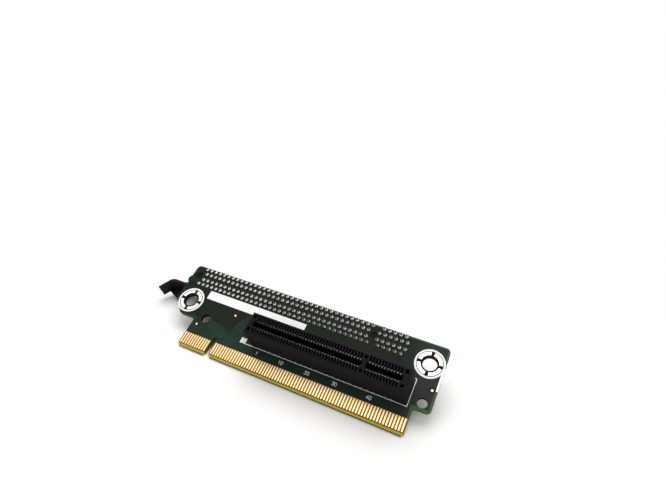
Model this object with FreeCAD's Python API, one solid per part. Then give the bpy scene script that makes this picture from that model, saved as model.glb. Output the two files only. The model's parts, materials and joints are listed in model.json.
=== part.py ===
import FreeCAD, Part
import math
import os

# PCI Express riser card: a small green circuit board with a keyed x16 card edge, an x8 card slot
# on its front face and an x16 card slot with a swinging card latch on its back face.
#
# Board frame, in millimetres: X runs along the board with 0 at the middle of the key notch,
# Y runs up the board from the card edge, Z points out of the front face, which is Z = 0.
# rest_placement() at the end tips the finished card to the pose in which it lies on a table.

Vector = FreeCAD.Vector

# ---------------------------------------------------------------- driving dimensions
# Circuit board: it carries the x16 slot along its top, with a margin beyond each end and above
BOARD_LEFT_MARGIN = 1.51
BOARD_RIGHT_MARGIN = 11.09
BOARD_TOP_MARGIN = 0.17
BOARD_THICKNESS = 1.57
BOARD_CORNER_RADIUS = 1.5
LEFT_SHOULDER_HEIGHT = 11.15
RIGHT_SHOULDER_HEIGHT = 9.2
LEFT_TAB_CHAMFER = 5.0
RIGHT_SHOULDER_FILLET = 1.0
TONGUE_CORNER_RADIUS = 0.7
BEVEL_HEIGHT = 0.95
BEVEL_ANGLE = 20.0

# Card edge: gold contacts each side of the key notch
EDGE_PITCH = 1.0
EDGE_SHORT_COUNT = 11
EDGE_LONG_COUNT = 71
NOTCH_WIDTH = 1.9
NOTCH_DEPTH = 7.6
NOTCH_ROUNDING = 0.9
NOTCH_TO_CONTACT = 0.55
TONGUE_MARGIN = 0.65
FINGER_WIDTH = 0.7
FINGER_LENGTH = 4.35
FINGER_FROM_EDGE = 1.0
COPPER_THICKNESS = 0.05

# Holes in the board
MOUNTING_HOLE_RADIUS = 2.45
LEFT_HOLE_FROM_SLOT_END = 4.54
LEFT_HOLE_BELOW_SLOT = 6.93
RIGHT_HOLE_FROM_SLOT_END = 6.04
RIGHT_HOLE_ABOVE_SLOT_RIM = 0.57
TOOLING_HOLE_RADIUS = 1.7
LEFT_TOOLING_HOLE = (-7.9, 12.3)
RIGHT_TOOLING_FROM_EDGE = 3.3
RIGHT_TOOLING_ABOVE_SHOULDER = 2.45

# Pads and bare copper
PAD_INNER_RADIUS = 3.0
PAD_OUTER_RADIUS = 4.15
PAD_ARC_COUNT = 4
PAD_GAP_ANGLE = 18.0
GROUND_STRIP_LENGTH = 8.0
GROUND_STRIP_WIDTH = 0.55
GROUND_STRIP_MIDDLE = 20.6

# Card slots
SLOT_PITCH = 1.0
SLOT_SHORT_COUNT = 11
SLOT_KEY_TO_CONTACT = 1.5
SLOT_WIDTH = 7.5
SLOT_HEIGHT = 11.25
SLOT_END_WALL = 1.9
SLOT_END_GAP = 1.1
SLOT_STANDOFF = 0.3
SLOT_STANDOFF_LENGTH = 3.0
CARD_GAP = 1.9
CARD_GAP_DEPTH = 8.0
KEY_WALL = 1.3
CAVITY_WIDTH = 0.6
CAVITY_REACH = 3.2
POCKET_LENGTH = 1.1
POCKET_WIDTH = 1.2
POCKET_DEPTH = 3.0
POCKET_OFFSET = 2.35
POCKET_FROM_CONTACT = 1.6
PEG_RADIUS = 1.15
PEG_LENGTH = 1.2
PEG_CLEARANCE = 0.08
PEG_FROM_CONTACT = 1.65
HOUSING_EDGE_RADIUS = 0.35

X8_LONG_COUNT = 38
X8_KEY_X = 55.42
X8_ROW_Y = 12.85
X16_LONG_COUNT = 71
X16_KEY_X = 52.11
X16_ROW_Y = 27.83

# Slot contacts and their solder joints
CONTACT_WIDTH = 0.45
CONTACT_TIP_BELOW_FACE = 0.35
CONTACT_TIP = 1.9
CONTACT_BOW = 0.75
CONTACT_BOW_HEIGHT = 8.0
CONTACT_FOOT = 2.6
SOLDER_OUTER_ROW = 3.25
SOLDER_INNER_ROW = 1.25
SOLDER_SIDES = 3
SOLDER_FIRST_CORNER = 30.0
SOLDER_RADIUS = 0.55
SOLDER_HEIGHT = 0.8

# Card latch on the x16 slot. Rises are counted from the back face of the board, and places in
# plan from the pivot, x along the board and y up it.
PIVOT_FROM_HOUSING = 1.61
PIVOT_BELOW_ROW = 1.83
EAR_RADIUS = 1.85
EAR_THICKNESS = 1.2
PIN_RADIUS = 0.5
PIN_CLEARANCE = 0.05
HUB_CLEARANCE = 0.15
BLADE_RISE = 1.43
BLADE_HEIGHT = 5.1
BLADE_THICKNESS = 0.9
BLADE_BELOW_PIVOT = 1.8
BLADE_STRAIGHT = 7.3
BEND_RADIUS = 3.3
BEND_ANGLE = 59.5
TAIL_LENGTH = 4.6
GRIP_RIB_COUNT = 4
GRIP_RIB_PITCH = 0.8
GRIP_RIB_HEIGHT = 0.3
THUMB_PLATE_THICKNESS = 1.3
THUMB_PLATE_ON_TAIL = 2.0
THUMB_PLATE_CORNER = (-6.4, -7.05)
THUMB_PLATE_HOLLOW = (-2.9, -5.0)
HOOK_LEFT = -4.4
HOOK_RIGHT = -2.3
HOOK_TOP = 11.0
HOOK_BEAK_UNDER = 9.4
HOOK_BEAK_REACH = 2.3
HOOK_LEAD_IN = 1.1
HOOK_COLUMN = (-1.3, 0.1)
HOOK_FOOT = -2.4

# How far a cutter passes the face that it cuts
OVERRUN = 1.0

# ---------------------------------------------------------------- layout
def contact_positions(long_count):
    """Contact places along a slot: the long group left of its key, the short group right of it."""
    left = [-SLOT_KEY_TO_CONTACT - i * SLOT_PITCH for i in range(long_count)]
    right = [SLOT_KEY_TO_CONTACT + i * SLOT_PITCH for i in range(SLOT_SHORT_COUNT)]
    return left[::-1], right


def peg_positions(long_count):
    left, right = contact_positions(long_count)
    return left[0] - PEG_FROM_CONTACT, 0


def slot_ends(long_count):
    left, right = contact_positions(long_count)
    margin = SLOT_END_GAP + SLOT_END_WALL
    return left[0] - margin, right[-1] + margin


X16_LEFT, X16_RIGHT = [X16_KEY_X + x for x in slot_ends(X16_LONG_COUNT)]
X16_LOWER_RIM = X16_ROW_Y - SLOT_WIDTH / 2
BOARD_LEFT = X16_LEFT - BOARD_LEFT_MARGIN
BOARD_RIGHT = X16_RIGHT + BOARD_RIGHT_MARGIN
BOARD_HEIGHT = X16_ROW_Y + SLOT_WIDTH / 2 + BOARD_TOP_MARGIN
BACK_FACE = -BOARD_THICKNESS
FIRST_CONTACT = NOTCH_WIDTH / 2 + NOTCH_TO_CONTACT
TONGUE_LEFT = -(FIRST_CONTACT + (EDGE_SHORT_COUNT - 1) * EDGE_PITCH + TONGUE_MARGIN)
TONGUE_RIGHT = FIRST_CONTACT + (EDGE_LONG_COUNT - 1) * EDGE_PITCH + TONGUE_MARGIN
BEVEL_DEPTH = BEVEL_HEIGHT * math.tan(math.radians(BEVEL_ANGLE))
LEFT_HOLE = (X16_LEFT + LEFT_HOLE_FROM_SLOT_END, X16_LOWER_RIM - LEFT_HOLE_BELOW_SLOT)
RIGHT_HOLE = (X16_RIGHT + RIGHT_HOLE_FROM_SLOT_END, X16_LOWER_RIM + RIGHT_HOLE_ABOVE_SLOT_RIM)
RIGHT_TOOLING_HOLE = (BOARD_RIGHT - RIGHT_TOOLING_FROM_EDGE,
                      RIGHT_SHOULDER_HEIGHT + RIGHT_TOOLING_ABOVE_SHOULDER)
CARD_GAP_FLOOR = SLOT_HEIGHT - CARD_GAP_DEPTH


# ---------------------------------------------------------------- drawing helpers
def box(x0, x1, y0, y1, z0, z1):
    return Part.makeBox(x1 - x0, y1 - y0, z1 - z0, Vector(x0, y0, z0))


def cylinder(x, y, z0, z1, radius):
    return Part.makeCylinder(radius, z1 - z0, Vector(x, y, z0))


def polygon_face(points):
    return Part.Face(Part.makePolygon([Vector(*p) for p in points] + [Vector(*points[0])]))


def plate(points, z0, z1):
    """Flat plate with the outline of the (x, y) points, between two heights."""
    return polygon_face([(x, y, z0) for x, y in points]).extrude(Vector(0, 0, z1 - z0))


def upright_edges(shape, x, y):
    """The edges of a shape that stand along Z at one corner of its outline."""
    return [e for e in shape.Edges
            if len(e.Vertexes) == 2
            and all(abs(v.X - x) < 1e-4 and abs(v.Y - y) < 1e-4 for v in e.Vertexes)]


# ---------------------------------------------------------------- circuit board
def board_outline():
    """Outline of the laminate, from the top left corner round by the right to the left tab."""
    half_notch = NOTCH_WIDTH / 2
    return [
        (BOARD_LEFT, BOARD_HEIGHT),
        (BOARD_RIGHT, BOARD_HEIGHT),
        (BOARD_RIGHT, RIGHT_SHOULDER_HEIGHT),
        (TONGUE_RIGHT, RIGHT_SHOULDER_HEIGHT),
        (TONGUE_RIGHT, 0),
        (half_notch, 0),
        (half_notch, NOTCH_DEPTH),
        (-half_notch, NOTCH_DEPTH),
        (-half_notch, 0),
        (TONGUE_LEFT, 0),
        (TONGUE_LEFT, LEFT_SHOULDER_HEIGHT),
        (BOARD_LEFT + LEFT_TAB_CHAMFER, LEFT_SHOULDER_HEIGHT),
        (BOARD_LEFT, LEFT_SHOULDER_HEIGHT + LEFT_TAB_CHAMFER),
    ]


def circuit_board():
    board = plate(board_outline(), BACK_FACE, 0)
    corner = BOARD_CORNER_RADIUS
    half_notch = NOTCH_WIDTH / 2
    notch_round = NOTCH_ROUNDING * half_notch
    rounded = [
        (BOARD_LEFT, BOARD_HEIGHT, corner),
        (BOARD_RIGHT, BOARD_HEIGHT, corner),
        (BOARD_RIGHT, RIGHT_SHOULDER_HEIGHT, corner),
        (TONGUE_RIGHT, RIGHT_SHOULDER_HEIGHT, RIGHT_SHOULDER_FILLET),
        (BOARD_LEFT + LEFT_TAB_CHAMFER, LEFT_SHOULDER_HEIGHT, corner),
        (BOARD_LEFT, LEFT_SHOULDER_HEIGHT + LEFT_TAB_CHAMFER, corner),
        (half_notch, NOTCH_DEPTH, notch_round),
        (-half_notch, NOTCH_DEPTH, notch_round),
    ]
    for x in (TONGUE_LEFT, -half_notch, half_notch, TONGUE_RIGHT):
        rounded.append((x, 0, TONGUE_CORNER_RADIUS))
    for x, y, radius in rounded:
        board = board.makeFillet(radius, upright_edges(board, x, y))

    # Lead-in bevel on both faces of the card edge
    for face_z, inward in ((0, -1), (BACK_FACE, 1)):
        wedge = [
            (0, face_z + inward * BEVEL_DEPTH),
            (BEVEL_HEIGHT, face_z),
            (BEVEL_HEIGHT, face_z - inward * OVERRUN),
            (-OVERRUN, face_z - inward * OVERRUN),
            (-OVERRUN, face_z + inward * BEVEL_DEPTH),
        ]
        cutter = polygon_face([(BOARD_LEFT, y, z) for y, z in wedge])
        board = board.cut(cutter.extrude(Vector(BOARD_RIGHT - BOARD_LEFT, 0, 0)))

    holes = [
        (*LEFT_HOLE, MOUNTING_HOLE_RADIUS),
        (*RIGHT_HOLE, MOUNTING_HOLE_RADIUS),
        (*LEFT_TOOLING_HOLE, TOOLING_HOLE_RADIUS),
        (*RIGHT_TOOLING_HOLE, TOOLING_HOLE_RADIUS),
    ]
    peg_hole = PEG_RADIUS + PEG_CLEARANCE
    for key_x, row_y, long_count in ((X8_KEY_X, X8_ROW_Y, X8_LONG_COUNT),
                                     (X16_KEY_X, X16_ROW_Y, X16_LONG_COUNT)):
        holes += [(key_x + x, row_y, peg_hole) for x in peg_positions(long_count)]
    for x, y, radius in holes:
        board = board.cut(cylinder(x, y, BACK_FACE - OVERRUN, OVERRUN, radius))
    return board


def edge_contacts(z0, z1):
    """One gold finger per contact, 11 on the short side of the notch and 71 on the long side."""
    centres = [-FIRST_CONTACT - i * EDGE_PITCH for i in range(EDGE_SHORT_COUNT)]
    centres += [FIRST_CONTACT + i * EDGE_PITCH for i in range(EDGE_LONG_COUNT)]
    half = FINGER_WIDTH / 2
    top = FINGER_FROM_EDGE + FINGER_LENGTH
    return Part.makeCompound([box(x - half, x + half, FINGER_FROM_EDGE, top, z0, z1)
                              for x in centres])


# ---------------------------------------------------------------- pads and bare copper
def mounting_pads(z0, z1):
    """Tinned arcs round both mounting holes, with a narrow gap between neighbours."""
    sweep = 360 / PAD_ARC_COUNT - PAD_GAP_ANGLE
    arcs = []
    for hole in (LEFT_HOLE, RIGHT_HOLE):
        for i in range(PAD_ARC_COUNT):
            sector = Part.makeCylinder(PAD_OUTER_RADIUS, z1 - z0, Vector(*hole, z0),
                                       Vector(0, 0, 1), sweep)
            start = i * 360 / PAD_ARC_COUNT + PAD_GAP_ANGLE / 2
            sector.rotate(Vector(*hole, 0), Vector(0, 0, 1), start)
            bore = cylinder(*hole, z0 - OVERRUN, z1 + OVERRUN, PAD_INNER_RADIUS)
            arcs.append(sector.cut(bore))
    return Part.makeCompound(arcs)


def edge_ground_strip():
    half = GROUND_STRIP_LENGTH / 2
    return box(BOARD_RIGHT - GROUND_STRIP_WIDTH, BOARD_RIGHT,
               GROUND_STRIP_MIDDLE - half, GROUND_STRIP_MIDDLE + half, 0, COPPER_THICKNESS)


# ---------------------------------------------------------------- card slots
# A slot is built with its key at x = 0, its row's middle at y = 0 and its seat at z = 0, and is
# then set on the front face as it is or turned over about X onto the back face.
def comb_outline(places, x0, x1):
    """Outline of the card gap from x0 to x1 with a contact cavity on both sides at each place."""
    half_gap = CARD_GAP / 2
    half = CAVITY_WIDTH / 2
    upper = [(x0, half_gap)]
    for x in places:
        upper += [(x - half, half_gap), (x - half, CAVITY_REACH),
                  (x + half, CAVITY_REACH), (x + half, half_gap)]
    upper.append((x1, half_gap))
    lower = [(x, -y) for x, y in reversed(upper)]
    return upper + lower


def slot_housing(long_count):
    left, right = contact_positions(long_count)
    x0, x1 = slot_ends(long_count)
    half_width = SLOT_WIDTH / 2
    body = box(x0, x1, -half_width, half_width, SLOT_STANDOFF, SLOT_HEIGHT)
    top_edges = [e for e in body.Edges if all(abs(v.Z - SLOT_HEIGHT) < 1e-6 for v in e.Vertexes)]
    body = body.makeChamfer(HOUSING_EDGE_RADIUS, top_edges)

    # Card gap with its contact cavities, split by the key wall
    groups = (
        (left, x0 + SLOT_END_WALL, -KEY_WALL / 2),
        (right, KEY_WALL / 2, x1 - SLOT_END_WALL),
    )
    for places, start, end in groups:
        comb = comb_outline(places, start, end)
        body = body.cut(plate(comb, CARD_GAP_FLOOR, SLOT_HEIGHT + OVERRUN))

    # Square pockets beside the key and at both ends
    pocket_x = (left[0] - POCKET_FROM_CONTACT, 0, right[-1] + POCKET_FROM_CONTACT)
    half_length, half_pocket = POCKET_LENGTH / 2, POCKET_WIDTH / 2
    for x in pocket_x:
        for y in (-POCKET_OFFSET, POCKET_OFFSET):
            body = body.cut(box(x - half_length, x + half_length, y - half_pocket, y + half_pocket,
                                SLOT_HEIGHT - POCKET_DEPTH, SLOT_HEIGHT + OVERRUN))

    # Feet that hold the moulding off the board, and the two locating pegs
    half_foot = SLOT_STANDOFF_LENGTH / 2
    for x in (x0 + half_foot, x1 - half_foot):
        body = body.fuse(box(x - half_foot, x + half_foot, -half_width, half_width,
                             0, SLOT_STANDOFF))
    for x in peg_positions(long_count):
        body = body.fuse(cylinder(x, 0, -PEG_LENGTH, SLOT_STANDOFF, PEG_RADIUS))
    return body.removeSplitter()


def contact_row(long_count, side):
    """Spring contacts of one side of a slot, each bowed in to press on the card."""
    profile = [
        (CONTACT_FOOT, CARD_GAP_FLOOR),
        (CONTACT_TIP, SLOT_HEIGHT - CONTACT_TIP_BELOW_FACE),
        (CONTACT_BOW, CONTACT_BOW_HEIGHT),
    ]
    left, right = contact_positions(long_count)
    contacts = []
    for x in left + right:
        blade = polygon_face([(x - CONTACT_WIDTH / 2, side * y, z) for y, z in profile])
        contacts.append(blade.extrude(Vector(CONTACT_WIDTH, 0, 0)))
    return Part.makeCompound(contacts)


def solder_row(long_count, side):
    """Solder joints of one side of a slot, in two staggered lines on the far face of the board."""
    left, right = contact_positions(long_count)
    joints = []
    for number, x in enumerate(left + right):
        row = SOLDER_OUTER_ROW if number % 2 == 0 else SOLDER_INNER_ROW
        joints.append(solder_joint(x, side * row))
    return Part.makeCompound(joints)


def solder_joint(x, y):
    """A small pyramid of solder round the end of a contact's tail."""
    turns = [math.radians(SOLDER_FIRST_CORNER + 360 * i / SOLDER_SIDES)
             for i in range(SOLDER_SIDES)]
    corners = [(x + SOLDER_RADIUS * math.cos(turn), y + SOLDER_RADIUS * math.sin(turn), BACK_FACE)
               for turn in turns]
    apex = (x, y, BACK_FACE - SOLDER_HEIGHT)
    faces = [polygon_face(corners)]
    for i, corner in enumerate(corners):
        faces.append(polygon_face([corner, corners[i - 1], apex]))
    return Part.Solid(Part.Shell(faces))


def on_front(shape, key_x, row_y):
    shape.Placement = FreeCAD.Placement(Vector(key_x, row_y, 0), FreeCAD.Rotation())
    return shape


def on_back(shape, key_x, row_y):
    turned = FreeCAD.Rotation(Vector(1, 0, 0), 180)
    shape.Placement = FreeCAD.Placement(Vector(key_x, row_y, BACK_FACE), turned)
    return shape


# ---------------------------------------------------------------- card latch
PIVOT = Vector(X16_LEFT - PIVOT_FROM_HOUSING, X16_ROW_Y - PIVOT_BELOW_ROW, 0)
HUB_RADIUS = PIVOT_FROM_HOUSING - HUB_CLEARANCE
PLATE_RISE = BLADE_RISE + BLADE_HEIGHT
LATCH_TOP = PLATE_RISE + THUMB_PLATE_THICKNESS
LOWER_EAR = (0, BLADE_RISE - HUB_CLEARANCE)
UPPER_EAR = (LATCH_TOP + HUB_CLEARANCE, LATCH_TOP + HUB_CLEARANCE + EAR_THICKNESS)
BEND_END = math.radians(BEND_ANGLE)


def raise_from_board(face, rise0, rise1):
    """Solid over a face drawn round the pivot, between two rises."""
    face.translate(PIVOT + Vector(0, 0, BACK_FACE - rise1))
    return face.extrude(Vector(0, 0, rise1 - rise0))


def disc(radius):
    return Part.Face(Part.Wire(Part.makeCircle(radius)))


def x16_housing():
    """The x16 housing with two ears at its left end, between which the latch turns."""
    body = on_back(slot_housing(X16_LONG_COUNT), X16_KEY_X, X16_ROW_Y)
    into_wall = PIVOT_FROM_HOUSING + SLOT_END_WALL / 2
    arm = [(0, -EAR_RADIUS, 0), (into_wall, -EAR_RADIUS, 0),
           (into_wall, EAR_RADIUS, 0), (0, EAR_RADIUS, 0)]
    for rises in (LOWER_EAR, UPPER_EAR):
        ear = raise_from_board(disc(EAR_RADIUS), *rises)
        body = body.fuse(ear.fuse(raise_from_board(polygon_face(arm), *rises)))
    body = body.cut(raise_from_board(disc(PIN_RADIUS), 0, UPPER_EAR[1]))
    return body.removeSplitter()


def bend_point(angle, depth):
    """A point of the bend, at an angle round it and a depth in from the outer face."""
    centre = Vector(-BLADE_STRAIGHT, -BLADE_BELOW_PIVOT - BEND_RADIUS, 0)
    return centre + Vector(-math.sin(angle), math.cos(angle), 0) * (BEND_RADIUS - depth)


def tail_point(along, depth):
    """A point of the straight tail, at a distance past the bend and a depth from the outer face."""
    return bend_point(BEND_END, depth) + Vector(-math.cos(BEND_END), -math.sin(BEND_END), 0) * along


def bend_edge(depth, start, end):
    return Part.Arc(bend_point(start, depth), bend_point((start + end) / 2, depth),
                    bend_point(end, depth)).toShape()


def lines(*points):
    return Part.makePolygon(points).Edges


def latch_root():
    """Edges shared by the blade and the thumb plate: round the hub and out along the outer face."""
    fillet = BLADE_BELOW_PIVOT
    lean = math.acos(HUB_RADIUS / (BLADE_BELOW_PIVOT + BLADE_THICKNESS))
    hub_left = Vector(-HUB_RADIUS, 0, 0)
    fillet_centre = hub_left - Vector(fillet, 0, 0)
    fillet_middle = fillet_centre + Vector(1, -1, 0) * fillet / math.sqrt(2)
    fillet_end = fillet_centre - Vector(0, fillet, 0)
    return [
        *lines(Vector(0, -BLADE_BELOW_PIVOT - BLADE_THICKNESS, 0),
               Vector(math.sin(lean), -math.cos(lean), 0) * HUB_RADIUS, Vector(), hub_left),
        Part.Arc(hub_left, fillet_middle, fillet_end).toShape(),
        *lines(fillet_end, bend_point(0, 0)),
        bend_edge(0, 0, BEND_END),
    ]


def blade_face():
    """Plan of the finger blade, with grip ribs along the outer face of its tail."""
    ribs = [tail_point(0, 0)]
    first = TAIL_LENGTH - GRIP_RIB_COUNT * GRIP_RIB_PITCH
    for i in range(GRIP_RIB_COUNT):
        foot = first + i * GRIP_RIB_PITCH
        ribs += [tail_point(foot, 0), tail_point(foot + GRIP_RIB_PITCH / 2, -GRIP_RIB_HEIGHT)]
    edges = latch_root() + lines(*ribs, tail_point(TAIL_LENGTH, 0),
                                 tail_point(TAIL_LENGTH, BLADE_THICKNESS),
                                 tail_point(0, BLADE_THICKNESS))
    edges.append(bend_edge(BLADE_THICKNESS, BEND_END, 0))
    edges += lines(bend_point(0, BLADE_THICKNESS),
                   Vector(0, -BLADE_BELOW_PIVOT - BLADE_THICKNESS, 0))
    return Part.Face(Part.Wire(edges))


def thumb_plate_face():
    """Plan of the thumb plate, which fills the inside of the bend and hollows in to the hub."""
    corner = Vector(*THUMB_PLATE_CORNER, 0)
    edges = latch_root() + lines(tail_point(0, 0), tail_point(THUMB_PLATE_ON_TAIL, 0), corner)
    edges.append(Part.Arc(corner, Vector(*THUMB_PLATE_HOLLOW, 0),
                          Vector(0, -BLADE_BELOW_PIVOT - BLADE_THICKNESS, 0)).toShape())
    return Part.Face(Part.Wire(edges))


def hook():
    """Upright hook whose beak reaches over the slot's middle line, sloped so a card can enter."""
    back, front = HOOK_COLUMN
    profile = [
        (HOOK_FOOT, PLATE_RISE),
        (HOOK_FOOT, LATCH_TOP),
        (back, HOOK_BEAK_UNDER),
        (back, HOOK_TOP),
        (HOOK_BEAK_REACH - HOOK_LEAD_IN, HOOK_TOP),
        (HOOK_BEAK_REACH, HOOK_TOP - HOOK_LEAD_IN),
        (HOOK_BEAK_REACH, HOOK_BEAK_UNDER),
        (front, HOOK_BEAK_UNDER),
        (front, PLATE_RISE),
    ]
    face = polygon_face([(HOOK_LEFT, y, BACK_FACE - rise) for y, rise in profile])
    face.translate(PIVOT)
    return face.extrude(Vector(HOOK_RIGHT - HOOK_LEFT, 0, 0))


def card_latch_lever():
    lever = raise_from_board(disc(HUB_RADIUS), BLADE_RISE, LATCH_TOP)
    lever = lever.fuse([
        raise_from_board(blade_face(), BLADE_RISE, PLATE_RISE),
        raise_from_board(thumb_plate_face(), PLATE_RISE, LATCH_TOP),
        hook(),
    ])
    bore = raise_from_board(disc(PIN_RADIUS + PIN_CLEARANCE), 0, HOOK_TOP)
    return lever.cut(bore).removeSplitter()


def latch_pivot_pin():
    return raise_from_board(disc(PIN_RADIUS), 0, UPPER_EAR[1])


# ---------------------------------------------------------------- whole card
def build_nodes():
    front = (0, COPPER_THICKNESS)
    back = (BACK_FACE - COPPER_THICKNESS, BACK_FACE)
    nodes = {
        "circuit_board": circuit_board(),
        "front_edge_contacts": edge_contacts(*front),
        "back_edge_contacts": edge_contacts(*back),
        "front_mounting_pads": mounting_pads(*front),
        "back_mounting_pads": mounting_pads(*back),
        "edge_ground_strip": edge_ground_strip(),
        "x8_slot_housing": on_front(slot_housing(X8_LONG_COUNT), X8_KEY_X, X8_ROW_Y),
        "x16_slot_housing": x16_housing(),
        "card_latch_lever": card_latch_lever(),
        "latch_pivot_pin": latch_pivot_pin(),
    }
    slots = (("x8_slot", X8_LONG_COUNT, X8_KEY_X, X8_ROW_Y, on_front),
             ("x16_slot", X16_LONG_COUNT, X16_KEY_X, X16_ROW_Y, on_back))
    for name, long_count, key_x, row_y, seat in slots:
        for row, side in (("first_row", 1), ("second_row", -1)):
            nodes[f"{name}_{row}_contacts"] = seat(contact_row(long_count, side), key_x, row_y)
            nodes[f"{name}_{row}_solder"] = seat(solder_row(long_count, side), key_x, row_y)
    return nodes


def rest_tilt():
    """Angle at which the card leans on its card edge and on the near rim of the x16 slot."""
    edge_y, edge_z = 0, BACK_FACE + BEVEL_DEPTH
    rim_y, rim_z = X16_ROW_Y - SLOT_WIDTH / 2, BACK_FACE - SLOT_HEIGHT + HOUSING_EDGE_RADIUS
    inner_y, inner_z = rim_y + HOUSING_EDGE_RADIUS, BACK_FACE - SLOT_HEIGHT
    return max(math.atan2(edge_z - z, y - edge_y) for y, z in ((rim_y, rim_z), (inner_y, inner_z)))


def rest_placement(nodes):
    """Tip the card back about X, set its lowest edge on z = 0 and centre its footprint."""
    tip = FreeCAD.Placement(Vector(), FreeCAD.Rotation(Vector(1, 0, 0), math.degrees(rest_tilt())))
    whole = Part.makeCompound(list(nodes.values()))
    whole.Placement = tip
    bounds = whole.optimalBoundingBox(False, False)
    drop = Vector(-(bounds.XMin + bounds.XMax) / 2, -(bounds.YMin + bounds.YMax) / 2, -bounds.ZMin)
    return FreeCAD.Placement(drop, FreeCAD.Rotation()).multiply(tip)


nodes = build_nodes()
placement = rest_placement(nodes)
os.makedirs("parts", exist_ok=True)
for name, shape in nodes.items():
    shape.Placement = placement.multiply(shape.Placement)
    shape.exportStep(f"parts/{name}.step")
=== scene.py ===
import json
import math

import bmesh
import bpy
from mathutils import Matrix, Vector


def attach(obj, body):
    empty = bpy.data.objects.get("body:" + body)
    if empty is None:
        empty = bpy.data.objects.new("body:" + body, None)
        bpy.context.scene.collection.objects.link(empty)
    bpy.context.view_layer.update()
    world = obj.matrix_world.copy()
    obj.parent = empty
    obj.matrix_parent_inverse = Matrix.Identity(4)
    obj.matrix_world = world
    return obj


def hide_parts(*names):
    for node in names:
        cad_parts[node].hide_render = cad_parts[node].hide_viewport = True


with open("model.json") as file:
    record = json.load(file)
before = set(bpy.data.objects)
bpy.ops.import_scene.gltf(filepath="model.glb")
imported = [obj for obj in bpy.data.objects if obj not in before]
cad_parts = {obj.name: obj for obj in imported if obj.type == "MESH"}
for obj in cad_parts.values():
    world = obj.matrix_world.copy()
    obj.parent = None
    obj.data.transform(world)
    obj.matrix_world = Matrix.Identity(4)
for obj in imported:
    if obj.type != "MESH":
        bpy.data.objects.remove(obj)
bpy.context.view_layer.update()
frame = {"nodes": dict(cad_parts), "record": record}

# ------------------------------------------------------------------ circuit board
# The board is glass laminate, routed to shape and drilled, under a dark green solder mask.
# The inner copper stops just short of the edge, so a lighter green border runs all round it,
# and the card edge is bevelled down to the bare yellow laminate.

BOARD_LEFT, BOARD_RIGHT, BOARD_TOP, BOARD_BACK = -23.9, 77.7, 31.75, -1.57
TONGUE_LEFT, TONGUE_RIGHT = -12.15, 72.15
SHOULDER_LEFT, SHOULDER_RIGHT, TAB_CHAMFER = 11.15, 9.2, 5.0
NOTCH_HALF, NOTCH_TOP, TOP_BORDER_CUT = 0.95, 7.6, 0.25
LEFT_HOLE_CENTRE = (-17.85, 17.15)
BARE_LAMINATE_TOP, BARE_BLUR = 5.45, 0.08
BEVEL_TOP, BEVEL_BLUR = 0.8, 0.12
BORDER_START, BORDER_END = 0.62, 0.82
PLANES_FADE, PAINTED_REFLECTION_FADE, RIM_REFLECTION_FADE = (14, 7.5), (62, 73), (-24, 74)
FACE_DEPTH, FACE_DEPTH_END = 0.02, 0.035
CARD_EDGE_TOP, CARD_EDGE_BLUR = 0.05, 0.04

# The card leans on the table. Its own millimetres run along it (x), up it (y) and out of its
# front face (z), and the left mounting hole, halfway through the board, says where they are.
mounts = {mount["name"]: mount for mount in frame["record"]["mounts"]}
card_normal = Vector(mounts["left_mounting_hole"]["axis"]).normalized()
card_along = Vector((1, 0, 0))
card_up = card_normal.cross(card_along)
card_lean = math.atan2(-card_normal.y, card_normal.z)
hole_middle = Vector((*LEFT_HOLE_CENTRE, BOARD_BACK / 2))
turn = Matrix((card_along, card_up, card_normal)).transposed()
card_origin = Vector(mounts["left_mounting_hole"]["pos_m"]) - turn @ hole_middle / 1000
CARD = Matrix.Translation(card_origin) @ turn.to_4x4() @ Matrix.Scale(0.001, 4)
TO_CARD = CARD.inverted()


def plug(target, value):
    """Links a wire to a socket, or sets the socket's own value."""
    if isinstance(value, Wire):
        target.id_data.links.new(value.socket, target)
    else:
        target.default_value = value


class Wire:
    """An output in a node tree. Arithmetic on wires adds the Math nodes for it."""

    def __init__(self, socket):
        self.socket = socket

    def node(self, kind, settings, sockets, out=0):
        """Adds a node to the same tree: its settings first, then what its sockets take."""
        made = self.socket.id_data.nodes.new(kind)
        for name, value in settings.items():
            setattr(made, name, value)
        for name, value in sockets.items():
            plug(made.inputs[name], value)
        return Wire(made.outputs[out])

    def math(self, operation, *terms):
        return self.node("ShaderNodeMath", {"operation": operation}, dict(enumerate(terms)))

    def __add__(self, other):
        return self.math("ADD", self, other)

    def __sub__(self, other):
        return self.math("SUBTRACT", self, other)

    def __rsub__(self, other):
        return self.math("SUBTRACT", other, self)

    def __mul__(self, other):
        return self.math("MULTIPLY", self, other)

    def __abs__(self):
        return self.math("ABSOLUTE", self)

    __radd__ = __add__
    __rmul__ = __mul__

    def least(self, other):
        return self.math("MINIMUM", self, other)

    def most(self, other):
        return self.math("MAXIMUM", self, other)

    def rise(self, start, end):
        """0 up to start, 1 from end on, and a smooth step between them."""
        return self.node("ShaderNodeMapRange", {"interpolation_type": "SMOOTHSTEP"},
                         {"Value": self, "From Min": start, "From Max": end})

    def colour(self, low, high):
        """Colour low where the wire is 0, and colour high where it is 1."""
        return self.node("ShaderNodeMix", {"data_type": "RGBA"}, {0: self, 6: low, 7: high}, 2)

    def cloud(self, scale, detail=2.0):
        """Soft noise over a place in the card's millimetres, from 0 to 1."""
        return self.node("ShaderNodeTexNoise", {}, {"Vector": self, "Scale": scale,
                                                    "Detail": detail})


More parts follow.
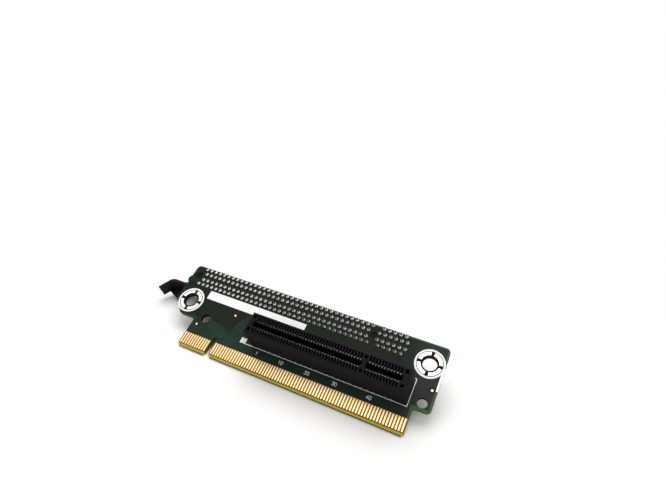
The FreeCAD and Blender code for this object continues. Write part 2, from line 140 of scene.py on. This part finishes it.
class Finish:
    """A material, with the place on the card in millimetres to paint its shader by."""

    def __init__(self, name, **constants):
        self.material = bpy.data.materials.new(name)
        self.material.use_nodes = True
        self.shader = self.material.node_tree.nodes["Principled BSDF"]
        self.lit = Wire(self.shader.outputs[0])
        self.place = self.lit.node("ShaderNodeMapping", {"vector_type": "TEXTURE"}, {
            "Vector": self.lit.node("ShaderNodeTexCoord", {}, {}, "Object"),
            "Location": card_origin, "Rotation": (card_lean, 0, 0),
            "Scale": (0.001, 0.001, 0.001)})
        self.x, self.y, self.z = (self.lit.node("ShaderNodeSeparateXYZ", {}, {0: self.place}, axis)
                                  for axis in range(3))
        for name, value in constants.items():
            self.set(name.replace("_", " "), value)

    def set(self, socket, value):
        plug(self.shader.inputs[socket], value)

    def bump(self, height, depth):
        """Relief of a height wire, with its depth in millimetres."""
        self.set("Normal", self.lit.node("ShaderNodeBump", {}, {
            "Height": height, "Distance": depth / 1000}))


def paint_node(node, finish):
    """Puts a finish on a CAD node that stays as it is."""
    slots = frame["nodes"][node].material_slots
    if not slots:
        frame["nodes"][node].data.materials.append(finish.material)
    for material_slot in slots:
        material_slot.material = finish.material


board = Finish("solder_mask_on_laminate", Specular_IOR_Level=0.06)
x, y, z = board.x, board.y, board.z
from_left_tab = (y - SHOULDER_LEFT).most(x - TONGUE_LEFT)
from_right_tab = (y - SHOULDER_RIGHT).most(TONGUE_RIGHT - x)
from_chamfer = (x + y - (BOARD_LEFT + SHOULDER_LEFT + TAB_CHAMFER)) * math.sqrt(0.5)
from_notch = (abs(x) - NOTCH_HALF).most(y - NOTCH_TOP)
from_sides = (x - BOARD_LEFT).least(BOARD_RIGHT - x).least(BOARD_TOP + TOP_BORDER_CUT - y)
from_rim = from_left_tab.least(from_right_tab).least(from_chamfer).least(from_notch)
from_rim = from_rim.least(from_sides)
over_copper = from_rim.rise(BORDER_START, BORDER_END)
cloud = board.place.cloud(0.16)
mask_dark = cloud.colour((0.0070, 0.0145, 0.0075, 1), (0.0150, 0.0210, 0.0125, 1))
mask_green = cloud.colour((0.0120, 0.0300, 0.0180, 1), (0.0230, 0.0380, 0.0260, 1))
# Towards the right end the mask is painted greyer: a painted reflection of the light overhead,
# which the leaning board mirrors there.
painted_reflection_grey = cloud.colour((0.0240, 0.0290, 0.0270, 1), (0.0370, 0.0380, 0.0370, 1))
over_traces = y.rise(*PLANES_FADE).colour(mask_dark, mask_green)
mask_with_painted_reflection = x.rise(*PAINTED_REFLECTION_FADE).colour(over_traces, painted_reflection_grey)
# The lighter green rim is the board's own colour; its brightening from the left end to the right
# end is a painted reflection, like the mask's.
rim_green = x.rise(*RIM_REFLECTION_FADE).colour((0.010, 0.035, 0.020, 1), (0.045, 0.115, 0.050, 1))
masked = over_copper.colour(rim_green, mask_with_painted_reflection)
bare = (BARE_LAMINATE_TOP - y).rise(0, BARE_BLUR)
bare_brown = (0.36, 0.075, 0.003, 1)
top_side = bare.colour(masked, bare_brown)
on_bevel = (BEVEL_TOP - y).rise(0, BEVEL_BLUR)
bevel_yellow = board.place.cloud(0.8).colour((0.40, 0.33, 0.05, 1), (0.56, 0.47, 0.09, 1))
face_colour = on_bevel.colour(top_side, bevel_yellow)
under_front = z.rise(-FACE_DEPTH, -FACE_DEPTH_END)
above_back = z.rise(BOARD_BACK + FACE_DEPTH, BOARD_BACK + FACE_DEPTH_END)
in_edge = under_front * above_back
weave = board.place.cloud(2.2, 4.0)
edge_olive = weave.colour((0.055, 0.07, 0.018, 1), (0.13, 0.14, 0.035, 1))
# Inside the holes the cut laminate is painted nearly black: painted shade in the holes, on the
# same laminate as the outer edge.
hole_wall_painted_shade = weave.colour((0.012, 0.011, 0.006, 1), (0.030, 0.027, 0.014, 1))
end_olive = weave.colour((0.17, 0.17, 0.025, 1), (0.27, 0.26, 0.05, 1))
at_card_edge = (CARD_EDGE_TOP - y).rise(0, CARD_EDGE_BLUR)
outer_edge = at_card_edge.colour(edge_olive, end_olive)
edge_colour = over_copper.colour(outer_edge, hole_wall_painted_shade)
cut_side = in_edge * (1 - on_bevel * (1 - at_card_edge))
board.set("Base Color", cut_side.colour(face_colour, edge_colour))
board.set("Roughness", 0.36 + 0.34 * cut_side.most(bare) + 0.1 * board.place.cloud(0.5))
board.bump(board.place.cloud(1.4, 3.0), 0.02)
paint_node("circuit_board", board)


# ------------------------------------------------------------------ copper under the mask
# Traces are etched copper a few hundredths of a millimetre thick. The mask flows over them,
# so they show as slightly raised, lighter green lines that sweep down to the card edge.

# A thin piece goes this far into the face it lies on, so that no gap is left under it
SINK = 0.01
TRACE_WIDTH, TRACE_RISE = 0.5, 0.018
SWEEP_COUNT, SWEEP_PITCH, SWEEP_STEPS = 5, 0.87, 10
SWEEP_CENTRE, SWEEP_LEFT, SWEEP_RIGHT = (9.7, 12.9), 8.1, 9.9
SWEEP_JOG, SWEEP_JOG_TOP, SWEEP_JOG_FOOT, SWEEP_JOG_DROP, SWEEP_FOOT = 1, 9.6, 7.6, 0.3, 5.9
TRACK_COUNT, TRACK_PITCH = 4, 0.8
SHARPEST_MITRE = 0.5


def strip(bm, path, width, z0, z1, closed=False):
    """Closed band of one width along a path, mitred at its corners."""
    count = len(path)
    places = [Vector(point) for point in path]
    rows = []
    for i, place in enumerate(places):
        before = place - places[i - 1] if closed or i else None
        after = places[(i + 1) % count] - place if closed or i < count - 1 else None
        before, after = before or after, after or before
        across = (before.normalized() + after.normalized()).normalized()
        across = Vector((-across.y, across.x))
        lean = across.dot(Vector((-after.y, after.x)).normalized())
        half = across * (width / 2 / max(lean, SHARPEST_MITRE))
        rows.append([bm.verts.new((*(place + side * half), level))
                     for side, level in ((1, z0), (-1, z0), (-1, z1), (1, z1))])
    for i in range(count if closed else count - 1):
        near, far = rows[i], rows[(i + 1) % count]
        for k in range(4):
            bm.faces.new((near[k - 1], near[k], far[k], far[k - 1]))
    if not closed:
        bm.faces.new(rows[0][::-1])
        bm.faces.new(rows[-1])


def arc(centre, radius, start, end, steps):
    """Points round part of a circle, with its angles in degrees."""
    angles = [math.radians(start + (end - start) * i / steps) for i in range(steps + 1)]
    return [(centre[0] + radius * math.cos(a), centre[1] + radius * math.sin(a))
            for a in angles]


def piece(name, bm, finish, body="riser_card", smooth=False, replaces=()):
    """Makes an object of a mesh drawn in the card's millimetres, and sets it on its body."""
    bmesh.ops.recalc_face_normals(bm, faces=bm.faces)
    mesh = bpy.data.meshes.new(name)
    bm.to_mesh(mesh)
    bm.free()
    mesh.transform(CARD)
    mesh.materials.append(finish.material)
    for polygon in mesh.polygons:
        polygon.use_smooth = smooth
    made = bpy.data.objects.new(name, mesh)
    bpy.context.scene.collection.objects.link(made)
    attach(made, body)
    if replaces:
        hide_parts(*replaces)


traces = bmesh.new()
# Sweeps that come round from the middle of the board and down to the fingers right of the notch
for i in range(SWEEP_COUNT):
    left = SWEEP_LEFT - SWEEP_PITCH * i
    bend = arc(SWEEP_CENTRE, SWEEP_CENTRE[0] - left, 90, 180, SWEEP_STEPS)
    strip(traces, [(SWEEP_RIGHT, bend[0][1]), *bend, (left, SWEEP_JOG_TOP - SWEEP_JOG_DROP * i),
                   (left - SWEEP_JOG, SWEEP_JOG_FOOT - SWEEP_JOG_DROP * i),
                   (left - SWEEP_JOG, SWEEP_FOOT)], TRACE_WIDTH, -SINK, TRACE_RISE)
# Tracks that run from the left tooling hole across to the right of the notch
for i in range(TRACK_COUNT):
    lift = TRACK_PITCH * i
    strip(traces, [(-6.0, 12.9 - lift), (-4.4, 12.1 - lift), (0.6, 11.0 - lift),
                   (2.0 - 0.2 * i, 9.9 - lift), (2.9 - 0.5 * i, 8.0 - 0.4 * i)],
          TRACE_WIDTH, -SINK, TRACE_RISE)
trace_mask = Finish("mask_over_traces", Specular_IOR_Level=0.06, Roughness=0.4)
trace_mask.set("Base Color", trace_mask.place.cloud(0.35).colour((0.013, 0.034, 0.026, 1),
                                                                 (0.024, 0.052, 0.043, 1)))
piece("copper_traces_under_mask", traces, trace_mask)


# ------------------------------------------------------------------ gold contacts of the card edge
# Hard gold fingers plated on both faces of the tongue, one per millimetre. Each is a flat pad
# whose lower corners are rounded where the plating stops short of the bevel.

SOLID_FINGER_HALF, FINGER_HALF, FINGER_CORNER, CORNER_STEPS = 0.35, 0.28, 0.25, 4
NO_FINGER_HALF = 1


def extent(node):
    """Lowest and highest corners of a CAD node, in the card's own millimetres."""
    points = [TO_CARD @ v.co for v in frame["nodes"][node].data.vertices]
    return Vector(map(min, *points)), Vector(map(max, *points))


def flat_piece(bm, outline, z0, z1):
    """Closed plate between two heights, from an outline that runs anticlockwise."""
    low = [bm.verts.new((px, py, z0)) for px, py in outline]
    high = [bm.verts.new((px, py, z1)) for px, py in outline]
    bm.faces.new(high)
    bm.faces.new(low[::-1])
    for i in range(len(outline)):
        bm.faces.new((low[i - 1], low[i], high[i], high[i - 1]))


gold = Finish("hard_gold", Metallic=1.0)
gold_cloud = gold.place.cloud(0.7)
gold.set("Base Color", gold_cloud.colour((0.98, 0.74, 0.32, 1), (1.0, 0.87, 0.50, 1)))
gold.set("Roughness", 0.22 + 0.16 * gold.place.cloud(3.0, 3.0))
gold.bump(gold.place.cloud(6.0), 0.01)
for face in ("front", "back"):
    node = f"{face}_edge_contacts"
    low, high = extent(node)
    fingers = bmesh.new()
    first, last = low.x + SOLID_FINGER_HALF, high.x - SOLID_FINGER_HALF
    centres = [first + i for i in range(round(last - first) + 1)]
    for centre in centres:
        if abs(centre) < NO_FINGER_HALF:
            continue
        right_end = arc((centre + FINGER_HALF - FINGER_CORNER, low.y + FINGER_CORNER),
                        FINGER_CORNER, -90, 0, CORNER_STEPS)
        left_end = arc((centre - FINGER_HALF + FINGER_CORNER, low.y + FINGER_CORNER),
                       FINGER_CORNER, 180, 270, CORNER_STEPS)
        top = [(centre + FINGER_HALF, high.y), (centre - FINGER_HALF, high.y)]
        flat_piece(fingers, [*right_end, *top, *left_end], low.z, high.z)
    piece(f"{face}_gold_fingers", fingers, gold, replaces=[node])


# ------------------------------------------------------------------ pads of the mounting holes
# Four tinned arcs round each mounting hole ground the card to its screws. The mask is open in
# a ring round the hole, where the bare laminate looks nearly black.

tin = Finish("tinned_copper", Metallic=1.0)
tin.set("Base Color", tin.place.cloud(0.9).colour((0.80, 0.80, 0.79, 1), (0.93, 0.93, 0.92, 1)))
tin.set("Roughness", 0.3 + 0.2 * tin.place.cloud(2.5, 3.0))
tin.bump(tin.place.cloud(1.6, 2.0), 0.03)
for node in ("front_mounting_pads", "back_mounting_pads", "edge_ground_strip"):
    paint_node(node, tin)

HOLE_RIM, MASK_RIM, OPENING_RISE = 2.45, 4.4, 0.012
CIRCLE_STEPS = 72
hole_places = [TO_CARD @ Vector(mounts[f"{side}_mounting_hole"]["pos_m"])
               for side in ("left", "right")]


def ring(bm, centre, inner, outer, z0, z1, steps=CIRCLE_STEPS):
    """Closed flat ring between two radii and two heights."""
    middle = (inner + outer) / 2
    circle = arc(centre, middle, 0, 360, steps)[:-1]
    strip(bm, circle, outer - inner, z0, z1, closed=True)


opening = Finish("mask_opening", Specular_IOR_Level=0.08, Roughness=0.6)
opening.set("Base Color", opening.place.cloud(1.5).colour((0.004, 0.004, 0.003, 1),
                                                          (0.008, 0.008, 0.006, 1)))
openings = bmesh.new()
for hole in hole_places:
    for z0, z1 in ((-SINK, OPENING_RISE), (BOARD_BACK - OPENING_RISE, BOARD_BACK + SINK)):
        ring(openings, hole.xy, HOLE_RIM, MASK_RIM, z0, z1)
piece("bare_rings_round_holes", openings, opening)


# ------------------------------------------------------------------ copper dots
# Small round targets of bare copper that the placing machine reads, in a wider mask opening.

DOT_PLACES = ((-9.95, 9.24), (2.15, 17.22), (76.03, 16.44))
DOT_RADIUS, DOT_OPENING, DOT_RISE, DOT_SIDES = 0.43, 0.5, 0.04, 28
copper = Finish("bare_copper", Metallic=1.0, Roughness=0.42)
copper.set("Base Color", copper.place.cloud(2.0).colour((0.92, 0.44, 0.17, 1),
                                                        (1.0, 0.62, 0.32, 1)))
dots = bmesh.new()
dot_openings = bmesh.new()
for place in DOT_PLACES:
    flat_piece(dots, arc(place, DOT_RADIUS, 0, 360, DOT_SIDES)[:-1], -SINK, DOT_RISE)
    ring(dot_openings, place, DOT_RADIUS, DOT_RADIUS + DOT_OPENING, -SINK, OPENING_RISE,
         DOT_SIDES)
piece("copper_dots", dots, copper)
piece("dot_mask_openings", dot_openings, opening)


# ------------------------------------------------------------------ printed marks
# White ink, screened on last: a ring round each mounting hole, a label bar, and the outline of
# the x8 slot, with a hatched mark at its left end and a row of ticks two contacts apart.

INK_RISE, INK_LINE = 0.03, 0.2
PRINTED_RIM = 5.05
BAR_LEFT, BAR_RIGHT, BAR_FOOT, BAR_TOP = -12.4, 28.6, 19.8, 23.2
SLOT_OUTLINE = ((9.2, 10.8), (9.2, 8.85), (70.4, 8.85), (70.5, 18.2), (69.9, 18.5))
HATCH_COUNT, HATCH_LEFT, HATCH_PITCH, HATCH_LINE = 4, 9.5, 0.5, 0.34
HATCH_FOOT, HATCH_TOP = 9.0, 10.7
TICK_COUNT, TICK_LEFT, TICK_PITCH, TICK_FOOT, TICK_TOP = 25, 17.12, 2, 8.9, 9.4
ink = Finish("white_ink", Roughness=0.55, Specular_IOR_Level=0.35)
ink.set("Base Color", ink.place.cloud(2.5, 4.0).colour((0.88, 0.88, 0.87, 1),
                                                       (0.97, 0.97, 0.96, 1)))
rings = bmesh.new()
for hole in hole_places:
    for z0, z1 in ((-SINK, INK_RISE), (BOARD_BACK - INK_RISE, BOARD_BACK + SINK)):
        ring(rings, hole.xy, MASK_RIM, PRINTED_RIM, z0, z1)
piece("printed_rings", rings, ink)

bar = bmesh.new()
flat_piece(bar, [(BAR_LEFT, BAR_FOOT), (BAR_RIGHT, BAR_FOOT), (BAR_RIGHT, BAR_TOP),
                 (BAR_LEFT, BAR_TOP)], -SINK, INK_RISE)
piece("printed_bar", bar, ink)

outline = bmesh.new()
strip(outline, SLOT_OUTLINE, INK_LINE, -SINK, INK_RISE)
for i in range(HATCH_COUNT):
    hatch = HATCH_LEFT + HATCH_PITCH * i
    strip(outline, [(hatch, HATCH_FOOT), (hatch, HATCH_TOP)], HATCH_LINE, -SINK, INK_RISE)
for i in range(TICK_COUNT):
    tick = TICK_LEFT + TICK_PITCH * i
    strip(outline, [(tick, TICK_FOOT), (tick, TICK_TOP)], INK_LINE, -SINK, INK_RISE)
piece("printed_slot_outline", outline, ink)


# ------------------------------------------------------------------ card slots
# Each slot is one black glass-filled moulding: a comb of contact cavities each side of the card
# gap, a key wall, and feet and pegs that seat it on the board.

plastic = Finish("slot_moulding", Specular_IOR_Level=0.04)
grain = plastic.place.cloud(5.0, 3.0)
plastic.set("Base Color", plastic.place.cloud(0.35).colour((0.0085, 0.0072, 0.0100, 1),
                                                           (0.0150, 0.0130, 0.0170, 1)))
plastic.set("Roughness", 0.5 + 0.2 * grain)
plastic.bump(grain, 0.02)
for node in ("x8_slot_housing", "x16_slot_housing"):
    paint_node(node, plastic)


# ------------------------------------------------------------------ spring contacts
# Stamped and plated strips of spring bronze, pressed up into the mouldings. Each rises from its
# tail, bows in to press on the card, and curls back under the face.

LEAF_THICKNESS, LEAF_HALF_WIDTH = 0.15, 0.21
LEAF_LINE = ((2.7, 3.4), (2.65, 5.2), (2.4, 6.8), (1.8, 8.2), (1.08, 9.4), (0.88, 9.9),
             (0.94, 10.3), (1.2, 10.72))
SHADE_FADE_START, SHADE_FADE_END = 9.0, 9.7
KEY_TO_CONTACT, CONTACTS_RIGHT_OF_KEY = 1.5, 11
SLOTS = {
    "x8_slot": {"count": 38, "key": 55.42, "row": 12.85, "seat": 0.0, "turn": 1},
    "x16_slot": {"count": 71, "key": 52.11, "row": 27.83, "seat": BOARD_BACK, "turn": -1},
}


def contact_places(slot_facts):
    """Places along the board of a slot's contacts, in order from its left end."""
    left = [-KEY_TO_CONTACT - i for i in range(slot_facts["count"])]
    right = [KEY_TO_CONTACT + i for i in range(CONTACTS_RIGHT_OF_KEY)]
    return [slot_facts["key"] + place for place in left[::-1] + right]


spring = Finish("plated_spring_bronze", Metallic=1.0)
leaf_height = abs(spring.z - BOARD_BACK / 2) + BOARD_BACK / 2
# Down in the cavities the leaves are painted nearly black, as painted shade; only the bow near the
# face shows the plated colour.
cavity_painted_shade = spring.place.cloud(1.2).colour((0.035, 0.030, 0.024, 1), (0.06, 0.05, 0.04, 1))
plated = spring.place.cloud(1.2).colour((0.24, 0.21, 0.19, 1), (0.42, 0.38, 0.34, 1))
spring.set("Base Color", leaf_height.rise(SHADE_FADE_START, SHADE_FADE_END).colour(cavity_painted_shade, plated))
spring.set("Roughness", 0.34 + 0.2 * spring.place.cloud(4.0))
for slot_name, facts in SLOTS.items():
    for row, side in (("first_row", 1), ("second_row", -1)):
        leaves = bmesh.new()
        for place in contact_places(facts):
            rows = []
            for across, height in LEAF_LINE:
                rows.append([leaves.verts.new((
                    place + half,
                    facts["row"] + facts["turn"] * side * (across + thick),
                    facts["seat"] + facts["turn"] * height))
                    for half, thick in ((-LEAF_HALF_WIDTH, 0), (LEAF_HALF_WIDTH, 0),
                                        (LEAF_HALF_WIDTH, LEAF_THICKNESS),
                                        (-LEAF_HALF_WIDTH, LEAF_THICKNESS))])
            for near, far in zip(rows, rows[1:]):
                for k in range(4):
                    leaves.faces.new((near[k - 1], near[k], far[k], far[k - 1]))
            leaves.faces.new(rows[0][::-1])
            leaves.faces.new(rows[-1])
        piece(f"{slot_name}_{row}_spring_leaves", leaves, spring,
              replaces=[f"{slot_name}_{row}_contacts"])


# ------------------------------------------------------------------ contact numbers
# Plain numbers of the first and every tenth contact, screened in the same white ink beside each
# slot, and the line that marks the foot of the x16 slot on the back.

NUMBER_HEIGHT, NUMBER_LINE, NUMBER_STEP, NUMBER_LEFT = 1.15, 0.17, 0.95, 0.25
NUMBER_EVERY, X8_NUMBERS_FOOT, X16_NUMBERS_FOOT = 10, -6.3, 5.1
X16_LINE = ((-17.0, 23.65), (67.1, 23.65), (67.1, 31.3))
DIGIT_LINES = {
    "0": ((0, 0.2), (0, 0.8), (0.15, 1), (0.45, 1), (0.6, 0.8), (0.6, 0.2), (0.45, 0), (0.15, 0),
          (0, 0.2)),
    "1": ((0.1, 0.8), (0.35, 1), (0.35, 0)),
    "2": ((0, 0.8), (0.15, 1), (0.45, 1), (0.6, 0.75), (0, 0), (0.6, 0)),
    "3": ((0, 1), (0.6, 1), (0.25, 0.6), (0.5, 0.5), (0.6, 0.25), (0.4, 0), (0, 0.1)),
    "4": ((0.45, 0), (0.45, 1), (0, 0.3), (0.65, 0.3)),
    "5": ((0.6, 1), (0.05, 1), (0, 0.55), (0.4, 0.6), (0.6, 0.3), (0.4, 0), (0, 0.05)),
    "6": ((0.5, 1), (0.1, 0.6), (0, 0.25), (0.15, 0), (0.45, 0), (0.6, 0.25), (0.45, 0.5),
          (0.05, 0.45)),
    "7": ((0, 1), (0.6, 1), (0.2, 0)),
    "8": ((0.3, 0.5), (0.05, 0.75), (0.3, 1), (0.55, 0.75), (0.3, 0.5), (0, 0.25), (0.3, 0),
          (0.6, 0.25), (0.3, 0.5)),
}
numbers = bmesh.new()
for facts, base in ((SLOTS["x8_slot"], X8_NUMBERS_FOOT), (SLOTS["x16_slot"], X16_NUMBERS_FOOT)):
    places = contact_places(facts)
    for number in (1, *range(NUMBER_EVERY, len(places), NUMBER_EVERY)):
        start = places[number - 1] - NUMBER_LEFT
        heights = sorted((facts["seat"] - facts["turn"] * SINK,
                          facts["seat"] + facts["turn"] * INK_RISE))
        for digit in str(number):
            strip(numbers, [(start + across * NUMBER_HEIGHT,
                             facts["row"] + facts["turn"] * (base + up * NUMBER_HEIGHT))
                            for across, up in DIGIT_LINES[digit]], NUMBER_LINE, *heights)
            start += NUMBER_STEP
piece("printed_contact_numbers", numbers, ink)
back_line = bmesh.new()
strip(back_line, X16_LINE, INK_LINE, BOARD_BACK - INK_RISE, BOARD_BACK + SINK)
piece("printed_x16_line", back_line, ink)


# ------------------------------------------------------------------ solder joints
# The tails of each slot's contacts come through the board in four staggered lines and are wave
# soldered: each joint is a small bright fillet round the cut end of its tail. The tail end is
# painted nearly black, a painted dark reflection in the middle of the joint.

JOINT_PROFILE = ((0.64, 0.0), (0.63, 0.07), (0.54, 0.16), (0.44, 0.29), (0.37, 0.42),
                 (0.33, 0.52), (0.30, 0.58))
TAIL_RADIUS, TAIL_LENGTH, TAIL_SIDES = 0.29, 1.0, 10
JOINT_SIDES = 14
JOINT_LINES = (3.25, 1.25)
CLEARING_INNER, CLEARING_OUTER, CLEARING_SIDES = 0.60, 0.82, 20

solder = Finish("wave_solder", Metallic=1.0)
solder.set("Base Color", solder.place.cloud(0.6).colour((0.84, 0.85, 0.84, 1),
                                                        (0.97, 0.97, 0.95, 1)))
solder.set("Roughness", 0.26 + 0.22 * solder.place.cloud(2.0, 3.0))
solder.bump(solder.place.cloud(3.0), 0.04)
clearings = bmesh.new()
tails = bmesh.new()
for slot_name, facts in SLOTS.items():
    far_face = BOARD_BACK - facts["seat"]
    for row, side in (("first_row", 1), ("second_row", -1)):
        joints = bmesh.new()
        for number, px in enumerate(contact_places(facts)):
            py = facts["row"] + facts["turn"] * side * JOINT_LINES[number % 2]
            hoops = []
            for radius, height in JOINT_PROFILE:
                hoops.append([joints.verts.new((cx, cy, far_face - facts["turn"] * height))
                              for cx, cy in arc((px, py), radius, 0, 360, JOINT_SIDES)[:-1]])
            for near, far in zip(hoops, hoops[1:]):
                for k in range(JOINT_SIDES):
                    joints.faces.new((near[k - 1], near[k], far[k], far[k - 1]))
            joints.faces.new(hoops[0][::-1])
            joints.faces.new(hoops[-1])
            rim = sorted((far_face - facts["turn"] * OPENING_RISE,
                          far_face + facts["turn"] * SINK))
            tail = sorted((far_face + facts["turn"] * SINK,
                           far_face - facts["turn"] * TAIL_LENGTH))
            flat_piece(tails, arc((px, py), TAIL_RADIUS, 0, 360, TAIL_SIDES)[:-1], *tail)
            ring(clearings, (px, py), CLEARING_INNER, CLEARING_OUTER, *rim, CLEARING_SIDES)
        piece(f"{slot_name}_{row}_solder_joints", joints, solder, smooth=True,
              replaces=[f"{slot_name}_{row}_solder"])
piece("solder_mask_clearings", clearings, opening)
# The tail ends are painted nearly black: a painted dark reflection in the middle of each joint.
tails_painted_dark = Finish("contact_tails_painted_dark", Metallic=1.0)
tails_painted_dark.set("Base Color", tails_painted_dark.place.cloud(0.8).colour((0.018, 0.018, 0.016, 1),
                                                                (0.10, 0.095, 0.09, 1)))
tails_painted_dark.set("Roughness", 0.35 + 0.2 * tails_painted_dark.place.cloud(3.0))
piece("contact_tails_painted_dark", tails, tails_painted_dark)


# ------------------------------------------------------------------ card latch
# A moulded black lever that swings on a steel pin between the two ears of the x16 slot. Its
# hook holds the corner of the card in the slot, and its ribbed tail is pushed to let it go.

latch_black = Finish("latch_moulding", Specular_IOR_Level=0.15)
latch_grain = latch_black.place.cloud(4.0, 3.0)
latch_black.set("Base Color", latch_black.place.cloud(0.4).colour((0.0055, 0.0048, 0.0070, 1),
                                                                  (0.0100, 0.0088, 0.0125, 1)))
latch_black.set("Roughness", 0.38 + 0.2 * latch_grain)
latch_black.bump(latch_grain, 0.02)
paint_node("card_latch_lever", latch_black)

steel = Finish("turned_steel", Metallic=1.0)
steel.set("Base Color", steel.place.cloud(1.5).colour((0.55, 0.55, 0.56, 1),
                                                      (0.68, 0.68, 0.69, 1)))
steel.set("Roughness", 0.3 + 0.15 * steel.place.cloud(6.0))
paint_node("latch_pivot_pin", steel)


# ------------------------------------------------------------------ table, light and camera
# The card lies on a wide white sheet that fades into a white room. A broad soft lamp hangs
# behind the card and a little to its left, so the shadow falls short and soft on the near side.

CAMERA_AZIMUTH, CAMERA_ELEVATION, CAMERA_ROLL = 23.596, 30.228, 3.678
CAMERA_AIM = Vector((-0.01402, 0.07304, 0))
CAMERA_DISTANCE, CAMERA_LENS, SENSOR_WIDTH = 0.23950, 26.414, 36.0
CLIP_START, CLIP_END = 0.01, 20.0

azimuth, elevation = math.radians(CAMERA_AZIMUTH), math.radians(CAMERA_ELEVATION)
camera_back = Vector((math.sin(azimuth) * math.cos(elevation),
                      -math.cos(azimuth) * math.cos(elevation), math.sin(elevation)))
camera = bpy.data.objects.new("camera", bpy.data.cameras.new("camera"))
camera.data.lens = CAMERA_LENS
camera.data.sensor_width = SENSOR_WIDTH
camera.data.clip_start = CLIP_START
camera.data.clip_end = CLIP_END
roll = Matrix.Rotation(math.radians(CAMERA_ROLL), 4, "Z")
camera.matrix_world = (Matrix.Translation(CAMERA_AIM + CAMERA_DISTANCE * camera_back)
                       @ camera_back.to_track_quat("Z", "Y").to_matrix().to_4x4() @ roll)
bpy.context.scene.collection.objects.link(camera)
bpy.context.scene.camera = camera

FLOOR_HALF, FLOOR_CELLS = 3.0, 8
FADE_START, FADE_END = 0.055, 0.20

sheet = bmesh.new()
bmesh.ops.create_grid(sheet, x_segments=FLOOR_CELLS, y_segments=FLOOR_CELLS, size=FLOOR_HALF)
floor_mesh = bpy.data.meshes.new("white_table")
sheet.to_mesh(floor_mesh)
sheet.free()
floor = bpy.data.objects.new("white_table", floor_mesh)
bpy.context.scene.collection.objects.link(floor)

ROOM_LOW_LIGHT, ROOM_HIGH_LIGHT = 0.30, 0.9


def seen_by(wire):
    """1 for rays from the camera, and for those that mirrors and clear parts pass on."""
    rays = [wire.node("ShaderNodeLightPath", {}, {}, kind)
            for kind in ("Is Camera Ray", "Is Glossy Ray", "Is Transmission Ray")]
    return rays[0].most(rays[1]).most(rays[2])


table = Finish("white_sheet", Base_Color=(0.955, 0.935, 0.91, 1), Roughness=1.0,
               Specular_IOR_Level=0.0)
floor_mesh.materials.append(table.material)
from_middle = table.lit.node("ShaderNodeVectorMath", {"operation": "LENGTH"},
                             {0: table.lit.node("ShaderNodeTexCoord", {}, {}, "Object")}, "Value")
white = table.lit.node("ShaderNodeEmission", {}, {"Strength": 1.0})
faded = seen_by(table.lit) * from_middle.rise(FADE_START, FADE_END)
plug(table.material.node_tree.nodes["Material Output"].inputs["Surface"],
     table.lit.node("ShaderNodeMixShader", {}, {0: faded, 1: table.lit, 2: white}))

room = bpy.data.worlds.new("white_room")
room.use_nodes = True
bpy.context.scene.world = room
room_white = Wire(room.node_tree.nodes["Background"].outputs[0])
plug(room_white.socket.node.inputs["Color"], (1, 1, 1, 1))
room_low, room_high = (
    room_white.node("ShaderNodeBackground", {}, {"Color": (1, 1, 1, 1), "Strength": strength})
    for strength in (ROOM_LOW_LIGHT, ROOM_HIGH_LIGHT))
looking = room_white.node("ShaderNodeTexCoord", {}, {}, "Generated")
upward = room_white.node("ShaderNodeSeparateXYZ", {}, {0: looking}, "Z").rise(0, 1)
room_lit = room_white.node("ShaderNodeMixShader", {}, {0: upward, 1: room_low, 2: room_high})
plug(room.node_tree.nodes["World Output"].inputs["Surface"],
     room_white.node("ShaderNodeMixShader", {}, {0: seen_by(room_white), 1: room_lit,
                                                 2: room_white}))

LAMP_PLACE, LAMP_SIZE, LAMP_POWER = Vector((-0.12, 0.34, 0.87)), 1.0, 5.6
lamp = bpy.data.objects.new("soft_lamp", bpy.data.lights.new("soft_lamp", "AREA"))
lamp.data.shape = "DISK"
lamp.data.size = LAMP_SIZE
lamp.data.energy = LAMP_POWER
lamp.location = LAMP_PLACE
lamp.rotation_euler = LAMP_PLACE.to_track_quat("Z", "Y").to_euler()
bpy.context.scene.collection.objects.link(lamp)

bpy.context.scene.view_settings.view_transform = "Standard"
